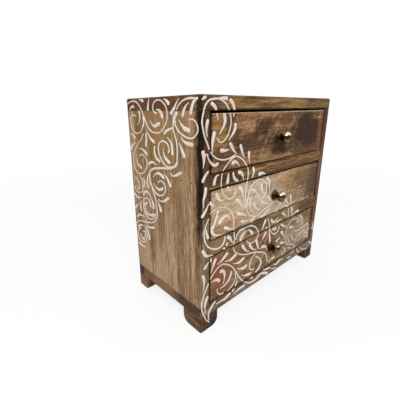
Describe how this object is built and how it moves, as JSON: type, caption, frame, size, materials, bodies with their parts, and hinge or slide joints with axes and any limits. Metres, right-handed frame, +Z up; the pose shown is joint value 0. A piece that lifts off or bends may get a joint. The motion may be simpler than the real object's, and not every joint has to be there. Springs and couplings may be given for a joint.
{
  "type": "mini drawer chest",
  "caption": "Small free-standing wooden chest of drawers with block feet, turned brass knobs and a white scrolling vine on its front and side.",
  "frame": {"origin": "on the floor under the middle of the whole chest, knobs included", "axes": "+X along the width, towards the viewer's right when the drawers are faced; the drawers face -Y; +Z up"},
  "size_m": [0.24, 0.1332, 0.236],
  "materials": {
    "mango_wood": "brown stained and waxed mango wood",
    "dark_wood": "dark stained mango wood",
    "drawer_wood": "plain light wood",
    "plywood": "thin plywood",
    "steel": "dull",
    "antique_brass": "antique, polished by use"
  },
  "bodies": {
    "case": {"top_board": "mango_wood", "bottom_board": "mango_wood", "left_side_panel": "mango_wood", "right_side_panel": "mango_wood", "upper_rail": "mango_wood", "lower_rail": "mango_wood", "upper_left_runner": "mango_wood", "upper_right_runner": "mango_wood", "lower_left_runner": "mango_wood", "lower_right_runner": "mango_wood", "back_panel": "plywood", "front_left_foot": "dark_wood", "front_right_foot": "dark_wood", "rear_left_foot": "dark_wood", "rear_right_foot": "dark_wood", "rail_nails": "steel", "top_board_nails": "steel", "bottom_board_nails": "steel", "foot_nails": "steel", "back_panel_pins": "steel"},
    "lower_drawer": {"lower_drawer_front": "mango_wood", "lower_drawer_left_side": "drawer_wood", "lower_drawer_right_side": "drawer_wood", "lower_drawer_back": "drawer_wood", "lower_drawer_bottom": "plywood", "lower_drawer_pins": "steel", "lower_knob": "antique_brass", "lower_knob_nut": "steel"},
    "middle_drawer": {"middle_drawer_front": "mango_wood", "middle_drawer_left_side": "drawer_wood", "middle_drawer_right_side": "drawer_wood", "middle_drawer_back": "drawer_wood", "middle_drawer_bottom": "plywood", "middle_drawer_pins": "steel", "middle_knob": "antique_brass", "middle_knob_nut": "steel"},
    "upper_drawer": {"upper_drawer_front": "mango_wood", "upper_drawer_left_side": "drawer_wood", "upper_drawer_right_side": "drawer_wood", "upper_drawer_back": "drawer_wood", "upper_drawer_bottom": "plywood", "upper_drawer_pins": "steel", "upper_knob": "antique_brass", "upper_knob_nut": "steel"}
  },
  "joints": [
    {"name": "lower_drawer_slide", "type": "slide", "parent": "case", "child": "lower_drawer", "axis": [0, -1, 0], "range_m": [0, 0.08]},
    {"name": "middle_drawer_slide", "type": "slide", "parent": "case", "child": "middle_drawer", "axis": [0, -1, 0], "range_m": [0, 0.08]},
    {"name": "upper_drawer_slide", "type": "slide", "parent": "case", "child": "upper_drawer", "axis": [0, -1, 0], "range_m": [0, 0.08]}
  ]
}
